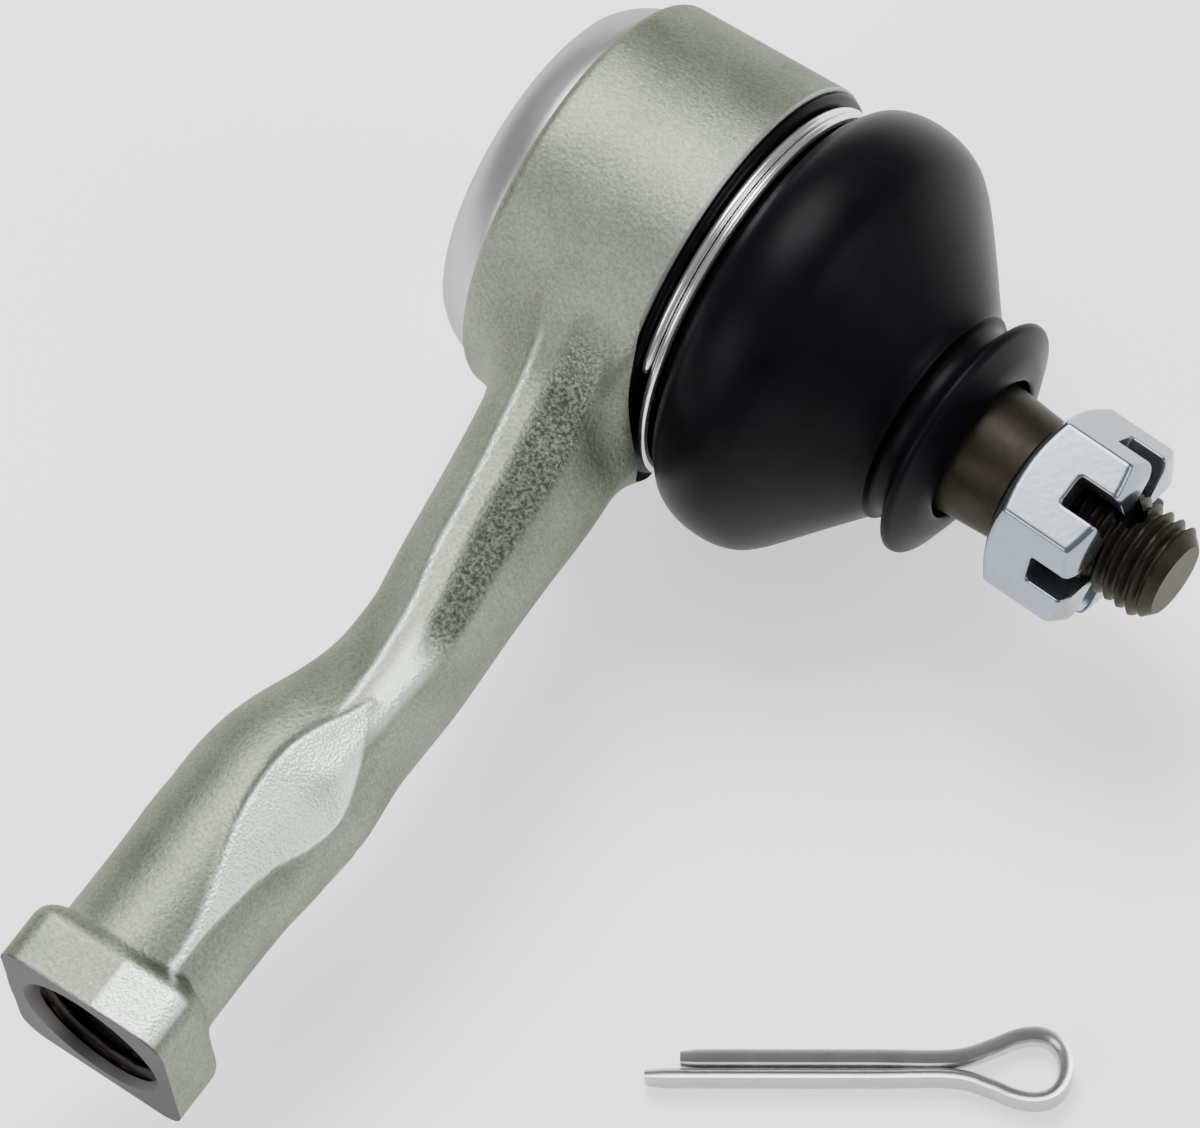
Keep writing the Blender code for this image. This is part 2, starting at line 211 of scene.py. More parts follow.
def smooth_max(a, b, k):
    """The overlap of two fields, with its edges rounded about k wide."""
    return -smooth_min(-a, -b, k)


def follow(y, stations):
    """A smooth value along Y through (y, value) stations, listed from the arm's end to the eye."""
    ys = np.array([s[0] for s in stations], float)
    vs = np.array([s[1] for s in stations], float)
    slopes = np.gradient(vs, ys)
    i = np.clip(np.searchsorted(ys, y) - 1, 0, len(ys) - 2)
    h = ys[i + 1] - ys[i]
    t = np.clip((y - ys[i]) / h, 0, 1)
    a = (2 * t ** 3 - 3 * t ** 2 + 1) * vs[i] + (t ** 3 - 2 * t ** 2 + t) * h * slopes[i]
    return a + (-2 * t ** 3 + 3 * t ** 2) * vs[i + 1] + (t ** 3 - t ** 2) * h * slopes[i + 1]


CORNERS = np.array([(i, j, k) for i in (0, 1) for j in (0, 1) for k in (0, 1)])
EDGES = [(a, b) for a in range(8) for b in range(a + 1, 8)
         if abs(CORNERS[a] - CORNERS[b]).sum() == 1]


def field_mesh(name, field, low, high, step):
    """Mesh the surface where a field of (x, y, z) is zero, one point to a cell it passes through."""
    axes = [np.arange(lo, hi + step, step) for lo, hi in zip(low, high)]
    shape = tuple(len(a) for a in axes)
    values = np.empty(shape, np.float32)
    for i, x in enumerate(axes[0]):
        values[i] = field(x, axes[1][:, None], axes[2][None, :])
    inside = values < 0
    counts = np.zeros(tuple(n - 1 for n in shape), np.int8)
    for i, j, k in CORNERS:
        counts += inside[i:shape[0] - 1 + i, j:shape[1] - 1 + j, k:shape[2] - 1 + k]
    cells = np.argwhere((counts > 0) & (counts < 8))
    corner = cells[:, None, :] + CORNERS[None]
    f = values[corner[..., 0], corner[..., 1], corner[..., 2]]
    total = np.zeros((len(cells), 3))
    number = np.zeros(len(cells))
    for a, b in EDGES:
        crosses = (f[:, a] < 0) != (f[:, b] < 0)
        t = np.where(crosses, f[:, a] / np.where(crosses, f[:, a] - f[:, b], 1), 0)
        at = CORNERS[a] + t[:, None] * (CORNERS[b] - CORNERS[a])
        total += at * crosses[:, None]
        number += crosses
    points = (cells + total / number[:, None]) * step + np.array(low)
    index = np.full(counts.shape, -1, np.int64)
    index[tuple(cells.T)] = np.arange(len(cells))
    faces = []
    for axis in range(3):
        other = [n for n in range(3) if n != axis]
        here = np.take(inside, range(shape[axis] - 1), axis)
        there = np.take(inside, range(1, shape[axis]), axis)
        edges = np.argwhere(here != there)
        edges = edges[(edges[:, other] > 0).all(1)]
        quad = []
        for da, db in ((0, 0), (1, 0), (1, 1), (0, 1)):
            cell = edges.copy()
            cell[:, other[0]] -= da
            cell[:, other[1]] -= db
            quad.append(index[tuple(cell.T)])
        quad = np.stack(quad, 1)
        outward = here[tuple(edges.T)] != (axis == 1)
        quad[~outward] = quad[~outward][:, ::-1]
        faces.append(quad)
    points = settle(points, field, step)
    return mesh_object(name, points, np.concatenate(faces).tolist())


def settle(points, field, step):
    """Move points onto the field's zero along its slope, at most half a cell at a time."""
    h = 0.02
    rounds = 2
    for _ in range(rounds):
        x, y, z = points.T
        f = field(x, y, z)
        g = np.stack([field(x + h, y, z) - f, field(x, y + h, z) - f, field(x, y, z + h) - f], 1) / h
        move = f[:, None] * g / np.maximum((g * g).sum(1), 0.05)[:, None]
        length = np.linalg.norm(move, axis=1)[:, None]
        points = points - move * np.minimum(1, 0.5 * step / np.maximum(length, 1e-9))
    return points


# Housing --------------------------------------------------------------------------------------------

# Outlines of the arm as (y, value) stations, from its end towards the eye. NECK_ and ROUGH_ LEFT, RIDGE and
# RIGHT are places on X, NECK_HEIGHT is half the neck's thickness, PAD_ values run across the trimmed pad.
NECK_LEFT = [(-70, 13.5), (-56, 13.3), (-50, 12.9), (-45, 12.1), (-40, 11.4), (-35, 10.8), (-30, 10.3),
             (-24, 9.6), (-18, 8.4), (-9, 7.0)]
NECK_RIDGE = [(-70, 19.0), (-56, 18.8), (-50, 18.2), (-45, 17.5), (-40, 16.3), (-35, 15.6), (-30, 14.8),
              (-24, 13.8), (-18, 12.8), (-9, 11.5)]
ROUGH_LEFT = [(-60, 21.4), (-50, 21.0), (-46, 20.3), (-43, 19.7), (-38, 18.6), (-30, 17.4), (-23, 16.3),
              (-16, 15.2)]
ROUGH_RIGHT = [(-64, 22.4), (-54, 23.0), (-48, 23.2), (-44, 22.9), (-40, 22.5), (-35, 22.1), (-27, 21.5),
               (-21, 20.4), (-15, 19.8)]
NECK_HEIGHT = [(-70, 7.0), (-56, 6.8), (-48, 6.6), (-38, 7.0), (-30, 7.8), (-24, 8.8), (-18, 10.2),
               (-9, 11.8)]
BARREL_RADIUS = [(-92, 8.15), (-76, 8.15), (-70, 8.4), (-66, 8.35), (-62.5, 7.9), (-59, 6.9), (-55, 5.3),
                 (-51, 3.7), (-46, 2.4)]
PAD_LEFT = [(-84, 0.5), (-82, 0.8), (-77, 2.2), (-73, 3.6), (-68, 4.5), (-63, 4.2), (-60, 3.1), (-57, 1.6),
            (-55, 1.0)]
PAD_RIGHT = [(-84, 0.0), (-82, 0.0), (-77, -0.5), (-73, -1.2), (-69, -2.9), (-66, -3.5), (-62.5, -2.3),
             (-59, -0.5), (-57, 0.3), (-55, 0.4)]


def eye_field(x, y, z):
    """The forged eye, a cylinder that grows towards its front by the die's draft."""
    radius = EYE_RADIUS - 0.25 + (x - BAND_WIDTH) * EYE_DRAFT
    across = np.hypot(y, z) - radius + EYE_ROUNDING
    middle = (BAND_WIDTH + EYE_FRONT + 1) / 2
    ends = np.abs(x - middle) - (EYE_FRONT + 1 - BAND_WIDTH) / 2 + EYE_ROUNDING
    outside = np.hypot(np.maximum(across, 0), np.maximum(ends, 0))
    return np.minimum(np.maximum(across, ends), 0) + outside - EYE_ROUNDING


def neck_field(x, y, z):
    """The forged neck: a flat land at the top and bottom, a drafted right side and a sloping left facet."""
    land = np.abs(z) - follow(y, NECK_HEIGHT)
    right_facet = (x - follow(y, ROUGH_RIGHT)) * math.cos(NECK_DRAFT) + land * math.sin(NECK_DRAFT)
    left_facet = (follow(y, NECK_RIDGE) - x + land) * math.sqrt(0.5)
    section = smooth_max(land, right_facet, 1.2)
    section = smooth_max(section, x - NECK_RIGHT, 2.0)
    section = smooth_max(section, left_facet, 0.5)
    section = smooth_max(section, follow(y, NECK_LEFT) - x, 2.2)
    return smooth_max(smooth_max(section, NECK_FAR - y, 2.0), y - NECK_NEAR, 2.0)


def barrel_field(x, y, z):
    """The barrel round the thread, domed where it leaves the neck."""
    shift = 0.25 * np.clip((-y - 70) / 4, 0, 1)
    across = np.hypot(x - BARREL_X + shift, z) - follow(y, BARREL_RADIUS)
    return smooth_max(across, y - BARREL_NEAR, 1.5)


def pad_place(x, z):
    """Across and outward distances in the frame of the trimmed pad on the barrel's shoulder."""
    u = x - BARREL_X
    up = np.abs(z)
    outward = u * math.cos(PAD_TURN) + up * math.sin(PAD_TURN)
    across = -u * math.sin(PAD_TURN) + up * math.cos(PAD_TURN)
    return across, outward


def pad_field(x, y, z):
    """The trimmed flash on the barrel: a flat that widens to a diamond and narrows to a ridge."""
    across, outward = pad_place(x, z)
    left = across - follow(y, PAD_LEFT)
    right = follow(y, PAD_RIGHT) - across
    flat = outward - PAD_DISTANCE + 0.11 * np.maximum(across, 0)
    ends = smooth_max(y - PAD_NEAR, SQUARE_BACK - 1 - y, 0.5)
    top = smooth_max(smooth_max(left, right, 0.2), flat, 0.5)
    return smooth_max(top, smooth_max(ends, 6 - outward, 0.5), 0.2)


def square_field(x, y, z):
    """The square end, its corners and its back rounded by the die."""
    a = np.abs(x - ARM_X) - SQUARE_HALF + SQUARE_CORNER
    b = np.abs(z) - SQUARE_HALF + SQUARE_CORNER
    across = np.minimum(np.maximum(a, b), 0) + np.hypot(np.maximum(a, 0), np.maximum(b, 0)) - SQUARE_CORNER
    slope = 0.5 * np.maximum(across, -3.0)
    return smooth_max(across, y - SQUARE_BACK + slope, 1.4)


def forging_field(x, y, z):
    """The whole forging before it is machined, its parts joined by the die's fillets."""
    arm = smooth_min(neck_field(x, y, z), barrel_field(x, y, z), 3.2)
    arm = smooth_min(arm, square_field(x, y, z), 0.9)
    arm = smooth_min(arm, pad_field(x, y, z), 0.6)
    arm = smooth_max(arm, ARM_END - 1.0 - y, 0.2)
    return smooth_min(arm, eye_field(x, y, z), 4.5)


def threaded_rod(name, start, end, radius, depth, pitch, bottom_chamfer=0.0, top_chamfer=0.0, columns=96):
    """A rod along X with a helical thread cut into it, for a screw or as the cutter of a tapped hole."""
    rows_per_pitch = 10
    rows = int((end - start) / pitch * rows_per_pitch) + 1
    xs = np.linspace(start, end, rows)
    angles = np.linspace(0, 2 * math.pi, columns, endpoint=False)
    x, a = np.meshgrid(xs, angles, indexing="ij")
    phase = (x / pitch - a / (2 * math.pi)) % 1.0
    flank_slope = 2.625
    groove = np.clip(1.25 - flank_slope * np.abs(phase - 0.5), 0.0, 1.0)
    r = radius - depth * groove
    if bottom_chamfer:
        r = np.minimum(r, radius - bottom_chamfer + (x - start))
    if top_chamfer:
        r = np.minimum(r, radius - top_chamfer + (end - x))
    verts = np.stack([x, r * np.cos(a), r * np.sin(a)], -1).reshape(-1, 3)
    obj = mesh_object(name, verts, tube_faces(rows, columns))
    point_outward(obj)
    return obj


def rod_hole_cutter():
    """The tapped hole with its countersink, opening at the arm's end face."""
    core = HOLE_RADIUS - HOLE_THREAD_DEPTH
    cutter = threaded_rod("hole", 0.4, 29, HOLE_RADIUS, HOLE_THREAD_DEPTH, HOLE_PITCH)
    sink_profile = [(-2, SINK_RADIUS), (0, SINK_RADIUS), (SINK_RADIUS - core, core), (1.2, 5.0), (1.25, 4.0)]
    sink = turned("sink", sink_profile, 96)
    drill = turned("drill", [(27, core), (30, core), (33.4, 0.05)], 64)
    combine(cutter, sink, "UNION")
    combine(cutter, drill, "UNION")
    place = Matrix.Translation((ARM_X * MM, ARM_END * MM, 0)) @ Matrix.Rotation(math.pi / 2, 4, "Z")
    cutter.data.transform(place)
    return cutter


def box_cutter(low, high):
    """A plain box between two corners, for cutting."""
    verts = [(x, y, z) for x in (low[0], high[0]) for y in (low[1], high[1]) for z in (low[2], high[2])]
    faces = [(0, 1, 3, 2), (4, 6, 7, 5), (0, 4, 5, 1), (2, 3, 7, 6), (0, 2, 6, 4), (1, 5, 7, 3)]
    cutter = mesh_object("box", verts, faces)
    point_outward(cutter)
    return cutter


FORGING_LOW = (2.5, -95.2, -21.4)
FORGING_HIGH = (26.2, 21.4, 21.4)


def build_housing():
    """The forging with its machined band, front face, boot seat, cavity and tapped hole."""
    step = 0.34
    housing = field_mesh("housing_forging", forging_field, FORGING_LOW, FORGING_HIGH, step)
    band = [(RIM_END, 0.02), (RIM_END, 15.3), (-0.75, 15.9), (-0.35, 16.6), (0.3, 17.2), (1.1, 17.75),
            (2.0, 18.2), (3.0, 18.6), (BAND_WIDTH - 0.05, BAND_RADIUS),
            (BAND_WIDTH + 0.3, BAND_RADIUS - 0.05), (12, BAND_RADIUS - 0.1)]
    combine(housing, turned("band", band, 192), "UNION")
    facing = [(EYE_FRONT, 10.0), (EYE_FRONT, EYE_RADIUS - 0.3), (EYE_FRONT - 0.28, EYE_RADIUS + 0.02),
              (EYE_FRONT + 1.2, EYE_RADIUS + 0.25), (32, EYE_RADIUS + 0.4), (32, 10.0)]
    combine(housing, turned("facing", facing, 192, ring=True), "DIFFERENCE")
    seat = [(EYE_FRONT - 4, 12.0), (EYE_FRONT - 4, BOOT_SEAT_RADIUS), (BOOT_SEAT_END - 0.4, BOOT_SEAT_RADIUS),
            (BOOT_SEAT_END, BOOT_SEAT_RADIUS - 0.4), (BOOT_SEAT_END, 12.0)]
    combine(housing, turned("seat", seat, 128, ring=True), "UNION")
    hollow = [(-3, RIM_BORE), (-0.3, RIM_BORE), (-0.3, CAVITY_RADIUS), (23.7, CAVITY_RADIUS), (23.7, 9.3),
              (BOOT_SEAT_END, 10.4), (28, 10.4)]
    combine(housing, turned("hollow", hollow, 128), "DIFFERENCE")
    combine(housing, box_cutter((0, -99, -15), (34, ARM_END, 15)), "DIFFERENCE")
    combine(housing, rod_hole_cutter(), "DIFFERENCE")
    housing.data.shade_smooth()
    housing.data.set_sharp_from_angle(angle=math.radians(38))
    mark_housing(housing)
    housing.data.materials.clear()
    housing.data.materials.append(forged_material())
    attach(housing, "housing")
    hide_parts("housing")


def ramp(value, low, high):
    """0 below low, 1 above high, and a straight line between."""
    return np.clip((value - low) / (high - low), 0, 1)


def trimmed_and_ridge_highlight_mask(x, y, z):
    """Where flash was trimmed: the pad, the link towards the neck's ridge and the square's patch; along the
    neck's ridge edge, a thin stripe that is a painted highlight.
    """
    across, outward = pad_place(x, z)
    pad = ramp(follow(y, PAD_LEFT) - across, -0.15, 0.15) * ramp(across - follow(y, PAD_RIGHT), -0.15, 0.15)
    pad *= ramp(outward, 7.6, 7.9) * ramp(-y, 56, 57) * ramp(y, SQUARE_BACK - 0.5, SQUARE_BACK + 0.5)
    above = np.abs(z) - follow(y, NECK_HEIGHT)
    # The neck's ridge gets a thin bright stripe: a painted highlight along its edge.
    ridge_highlight_width = 0.22
    ridge = np.exp(-((x - follow(y, NECK_RIDGE) - 0.15) / ridge_highlight_width) ** 2)
    ridge *= ramp(above, -0.6, -0.2) * ramp(-y, 18, 22) * ramp(y, -60, -54)
    link = ramp(x - follow(y, ROUGH_LEFT), -1.6, -0.6) * ramp(follow(y, ROUGH_RIGHT) - x, -0.3, 0.3)
    link *= ramp(above, -0.9, -0.4) * ramp(-y, 46, 50) * ramp(y, -60, -57) * 0.5
    patch = ramp(x, 18.0, 18.5) * ramp(25.0 - x, -0.2, 0.2) * ramp(np.abs(z), 8.2, 8.6)
    patch *= ramp(-y, 87.6, 88.2)
    off_middle = ramp(np.abs(z), 3.0, 4.0)
    return np.maximum(np.maximum(pad, ridge), np.maximum(patch, link)) * off_middle


def rough_mask(x, y, z):
    """The rough land along the top and the bottom of the neck."""
    land = ramp(x - follow(y, ROUGH_LEFT), -0.5, 0.6) * ramp(follow(y, ROUGH_RIGHT) - x, -0.3, 0.4)
    return land * ramp(np.abs(z) - follow(y, NECK_HEIGHT), -1.2, -0.7) * ramp(-y, 15, 22) * ramp(y, -51, -46)


def end_face_mask(x, y, z):
    """The arm's end face and the countersink in it."""
    sink = ramp(SINK_RADIUS + 0.05 - np.hypot(x - ARM_X, z), 0, 0.1) * ramp(-y, 92, 92.1)
    return np.clip(ramp(ARM_END + 0.02 - y, 0, 0.01) + sink, 0, 1)


def machined_mask(x, y, z):
    """The band at the closed end, the edge of the eye's front face, and the arm's end."""
    radius = np.hypot(y, z)
    band = ramp(BAND_WIDTH + 0.02 - x, 0, 0.05) * ramp(22.0 - radius, 0, 1)
    front = ramp(x, EYE_FRONT - 0.3, EYE_FRONT - 0.25) * ramp(EYE_FRONT - 0.002 - x, 0, 0.001)
    front *= ramp(EYE_RADIUS + 0.4 - radius, 0, 0.1)
    return np.clip(band + front + end_face_mask(x, y, z), 0, 1)


def tapped_hole_shade_mask(x, y, z):
    """The wall of the tapped hole, darkened as painted shade inside the deep hole."""
    wall = ramp(HOLE_RADIUS + 0.01 - np.hypot(x - ARM_X, z), 0, 0.02)
    return wall * ramp(-y, 63.2, 63.4) * ramp(y, ARM_END + 0.3, ARM_END + 0.9)


def mark_housing(obj):
    """Store where the forging is trimmed, rough or machined, for its material, with the painted highlight on
    the neck's ridge and the painted shade in the tapped hole.
    """
    count = len(obj.data.vertices)
    co = np.empty(count * 3, np.float32)
    obj.data.vertices.foreach_get("co", co)
    x, y, z = co.reshape(-1, 3).T / MM
    masks = {"trimmed": trimmed_and_ridge_highlight_mask, "rough": rough_mask, "machined": machined_mask,
             "end_face": end_face_mask, "bore": tapped_hole_shade_mask}
    for name, mask in masks.items():
        layer = obj.data.attributes.new(name, "FLOAT", "POINT")
        layer.data.foreach_set("value", mask(x, y, z).astype(np.float32))


# Stud, nut and pin ----------------------------------------------------------------------------------

BALL_RADIUS = 11
BALL_FLAT = 10.3  # distance from the ball's centre to the flat on its back
BALL_BACK_ANGLE = math.radians(158)
BALL_NECK_ANGLE = 0.534  # where the ball meets its neck
STUD_START = 55.8
STUD_TIP = 71.3
STUD_RADIUS = 4.95
STUD_PITCH = 1.25
STUD_THREAD_DEPTH = 0.72
PIN_HOLE_X = 65.3
PIN_HOLE_RADIUS = 1.5
PIN_HOLE_TURN = math.radians(-16)


def build_stud():
    """The ball, the tapered shank, the thread and the pin's cross-hole, in one piece."""
    shank = [(BALL_X - BALL_FLAT, 0.02), (BALL_X - BALL_FLAT, 3.9)]
    for a in np.linspace(BALL_BACK_ANGLE, BALL_NECK_ANGLE, 40):
        shank.append((BALL_X + BALL_RADIUS * math.cos(a), BALL_RADIUS * math.sin(a)))
    shank += smooth_line([(27.2, 5.6), (32.0, 5.6), (35.5, 6.1), (38.0, 6.9)], 6)
    shank += [(46.0, 6.95), (55.2, 6.25), (55.4, 6.05), (55.4, 4.3), (56.6, 4.3), (56.6, 0.02)]
    stud = turned("stud_body", shank, 128)
    thread = threaded_rod("stud_thread", STUD_START, STUD_TIP, STUD_RADIUS, STUD_THREAD_DEPTH, STUD_PITCH,
                          bottom_chamfer=0.6, top_chamfer=1.35, columns=128)
    combine(stud, thread, "UNION")
    hole = turned("pin_hole", [(-8, PIN_HOLE_RADIUS), (8, PIN_HOLE_RADIUS)], 48)
    turn = Matrix.Rotation(PIN_HOLE_TURN, 4, "X") @ Matrix.Rotation(math.pi / 2, 4, "Y")
    hole.data.transform(Matrix.Translation((PIN_HOLE_X * MM, 0, 0)) @ turn)
    combine(stud, hole, "DIFFERENCE")
    stud.data.shade_smooth()
    stud.data.set_sharp_from_angle(angle=math.radians(40))
    with_stud(stud)
    stud.data.materials.clear()
    stud.data.materials.append(stud_material())
    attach(stud, "stud")
    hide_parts("ball_stud")


NUT_START = 55.8
NUT_END = 65.1
NUT_TURN = math.radians(12.2)
NUT_FLAT = 8.5
NUT_BORE = 5.12
SLOT_HALF = 1.55
SLOT_DEPTH = 4.3
NUT_CHAMFER = math.radians(28)
NUT_CHAMFER_START = 7.75  # radius where both chamfers start


def nut_field(x, y, z):
    """A slotted hexagon nut with chamfered ends and a slot across each pair of flats."""
    hexagon = None
    slots = None
    for i in range(3):
        turn = NUT_TURN + math.pi / 6 + math.pi / 3 * i
        across = y * math.cos(turn) + z * math.sin(turn)
        along = -y * math.sin(turn) + z * math.cos(turn)
        flat = np.abs(across) - NUT_FLAT
        hexagon = flat if hexagon is None else smooth_max(hexagon, flat, 0.25)
        slot = smooth_max(np.abs(along) - SLOT_HALF, NUT_END - SLOT_DEPTH - x, 0.5)
        slots = slot if slots is None else np.minimum(slots, slot)
    radius = np.hypot(y, z)
    rise = (radius - NUT_CHAMFER_START) * math.sin(NUT_CHAMFER)
    front = (x - NUT_END) * math.cos(NUT_CHAMFER) + rise
    back = (NUT_START - x) * math.cos(NUT_CHAMFER) + rise
    body = smooth_max(hexagon, smooth_max(front, x - NUT_END, 0.3), 0.35)
    body = smooth_max(body, smooth_max(back, NUT_START - x, 0.3), 0.35)
    countersink = np.maximum(0, np.maximum(1.0 - (NUT_END - x), 1.0 - (x - NUT_START)))
    bore = NUT_BORE - radius - 0.9 * countersink
    body = smooth_max(body, bore, 0.2)
    return smooth_max(body, -slots, 0.22)


def build_nut():
    """The nut, on the stud's thread and leaned with it."""
    step = 0.15
    low = (NUT_START - 0.6, -10.4, -10.4)
    high = (NUT_END + 0.6, 10.4, 10.4)
    nut = field_mesh("castle_nut_body", nut_field, low, high, step)
    nut.data.set_sharp_from_angle(angle=math.radians(50))
    with_stud(nut)
    nut.data.materials.append(zinc_material("nut_zinc_look", (0.26, 0.30, 0.34), 0.22))
    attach(nut, "nut")
    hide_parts("castle_nut")


PIN_TIP = Vector((53.2, -62.3, -20.4))
PIN_HEADING = math.radians(33.9)
PIN_LEG = 29.4
PIN_SHORT_LEG = 26.2
PIN_EYE_LENGTH = 8.4
PIN_EYE_HALF = 3.1
PIN_RADIUS = 1.35


def pin_path():
    """Centre line of the folded wire, from the tip of one leg round the eye to the other's."""
    side = -PIN_RADIUS / 2 - 0.03
    points = [(0.0, side), (PIN_LEG * 0.35, side), (PIN_LEG * 0.7, side), (PIN_LEG - 1.6, side)]
    eye_points = 14
    for i in range(1, eye_points):
        t = i / eye_points
        x = PIN_LEG + PIN_EYE_LENGTH * math.sin(math.pi * t)
        bow = (PIN_RADIUS / 2 - PIN_EYE_HALF) * math.sin(2 * math.pi * t)
        points.append((x, bow + side * math.cos(math.pi * t)))
    points += [(PIN_LEG - 1.6, -side), (PIN_LEG * 0.7, -side), (PIN_LEG * 0.4, -side)]
    points += [(PIN_LEG - PIN_SHORT_LEG, -side)]
    return smooth_line(points, 6)


def build_pin():
    """Half-round wire folded flat side to flat side."""
    path = [np.array(p) for p in pin_path()]
    ring = []
    for a in np.linspace(-math.pi / 2, math.pi / 2, 15):
        ring.append((math.cos(a) * PIN_RADIUS - PIN_RADIUS / 2, math.sin(a) * PIN_RADIUS))
    ring += [(-PIN_RADIUS / 2, PIN_RADIUS * s) for s in (0.6, 0.2, -0.2, -0.6)]
    verts = []
    for i, point in enumerate(path):
        ahead = path[min(i + 1, len(path) - 1)] - path[max(i - 1, 0)]
        ahead = ahead / np.linalg.norm(ahead)
        across = np.array([-ahead[1], ahead[0]])
        tip = min(i, len(path) - 1 - i)
        shrink = 1.0 if tip else 0.8
        for u, v in ring:
            x, y = point + across * u * shrink
            verts.append((x, y, v * shrink))
    pin = mesh_object("cotter_pin_wire", verts, tube_faces(len(path), len(ring)))
    point_outward(pin)
    pin.data.set_sharp_from_angle(angle=math.radians(40))
    # The pin lies loose beside the part, a little above the floor
    pin.data.transform(Matrix.Translation(PIN_TIP * MM) @ Matrix.Rotation(PIN_HEADING, 4, "Z"))
    pin.data.materials.append(zinc_material("pin_zinc_look", (0.46, 0.46, 0.455), 0.26))
    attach(pin, "cotter_pin")
    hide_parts("cotter_pin")


# Boot and clip --------------------------------------------------------------------------------------

def boot_section():
    """The boot's section: outside from bead to lip, then back along the inside."""
    bead = [(21.7, 16.9), (21.5, 18.6), (21.45, 19.5), (21.6, 19.85), (21.85, 19.85), (22.0, 19.6),
            (22.1, 18.9), (22.15, 18.15)]
    groove = [(22.4, 18.1), (24.6, 18.1), (24.85, 18.3), (24.95, 18.8), (25.2, 19.4)]
    bulge = smooth_line([(25.2, 19.4), (26.5, 20.8), (28.2, 21.55), (30.2, 21.8), (32.3, 21.6), (34.2, 20.9),
                         (35.7, 19.7)], 6)
    cone = [(36.6, 18.75), (38.2, 17.0), (39.8, 15.2), (41.4, 13.4), (42.8, 11.85)]
    neck = smooth_line([(43.5, 11.1), (43.95, 10.88), (44.2, 10.82), (44.28, 10.6), (44.45, 10.1),
                        (44.9, 9.75), (45.7, 9.75), (46.3, 10.05), (46.75, 10.7)], 4)
    lip = smooth_line([(46.95, 11.3), (47.1, 11.9), (47.4, 12.2), (47.8, 12.2), (48.1, 12.0), (48.35, 11.5),
                       (48.8, 10.5), (49.25, 9.5)], 5)
    face = [(49.35, 9.2), (49.45, 8.8), (49.55, 8.3), (49.6, 7.8), (49.6, 7.5), (49.45, 7.35)]
    ring_pocket = [(49.1, 7.35), (49.1, 9.2), (46.4, 9.2), (46.4, 7.35)]
    inside = [(44.8, 7.35), (43.2, 8.2), (41.6, 10.2), (38.2, 14.2), (35.0, 17.6), (33.4, 18.9),
              (30.4, 19.7), (27.6, 19.2), (26.0, 17.6), (25.7, 16.9)]
    outside = bead + groove + bulge[1:] + cone + neck + lip + face
    return [tuple(p) for p in outside + ring_pocket + inside]


BEND_START = 26
BEND_END = 44


def build_boot():
    """The boot, held by the clip at its bead and leaned with the stud at its lip."""
    boot = turned("rubber_boot", boot_section(), 160, 60, ring=True)
    co = np.array([v.co[:] for v in boot.data.vertices]) / MM
    t = np.clip((co[:, 0] - BEND_START) / (BEND_END - BEND_START), 0, 1)
    lean = STUD_TILT * t * t * (3 - 2 * t)
    x, y = co[:, 0] - BALL_X, co[:, 1].copy()
    co[:, 0] = BALL_X + x * np.cos(lean) - y * np.sin(lean)
    co[:, 1] = x * np.sin(lean) + y * np.cos(lean)
    boot.data.vertices.foreach_set("co", (co * MM).ravel())
    boot.data.materials.append(rubber_material())
    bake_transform(boot)
    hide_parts("dust_boot")


CLIP_START = 22.62
CLIP_RADIUS = 18.65
CLIP_WIRE = 0.47  # radius of the wire
CLIP_PITCH = 1.02
CLIP_TURNS = 1.55
CLIP_CUT_END = math.radians(150)


def build_clip():
    """Round spring wire wound over one and a half turns in the boot's groove."""
    columns = 14
    rows = 260
    verts = []
    for i in range(rows):
        turn = CLIP_TURNS * i / (rows - 1)
        a = CLIP_CUT_END - 2 * math.pi * turn
        x = CLIP_START + CLIP_PITCH * turn
        end = min(i, rows - 1 - i)
        size = CLIP_WIRE * (1 if end > 1 else (0.9 if end else 0.6))
        for k in range(columns):
            b = 2 * math.pi * k / columns
            r = CLIP_RADIUS + size * math.cos(b)
            verts.append((x + size * math.sin(b), r * math.cos(a), r * math.sin(a)))
    clip = mesh_object("clip_wire_ring", verts, tube_faces(rows, columns))
    point_outward(clip)
    clip.data.materials.append(zinc_material("clip_wire_look", (0.8, 0.81, 0.82), 0.16))
    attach(clip, "housing")
    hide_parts("boot_clip")


# Materials ------------------------------------------------------------------------------------------

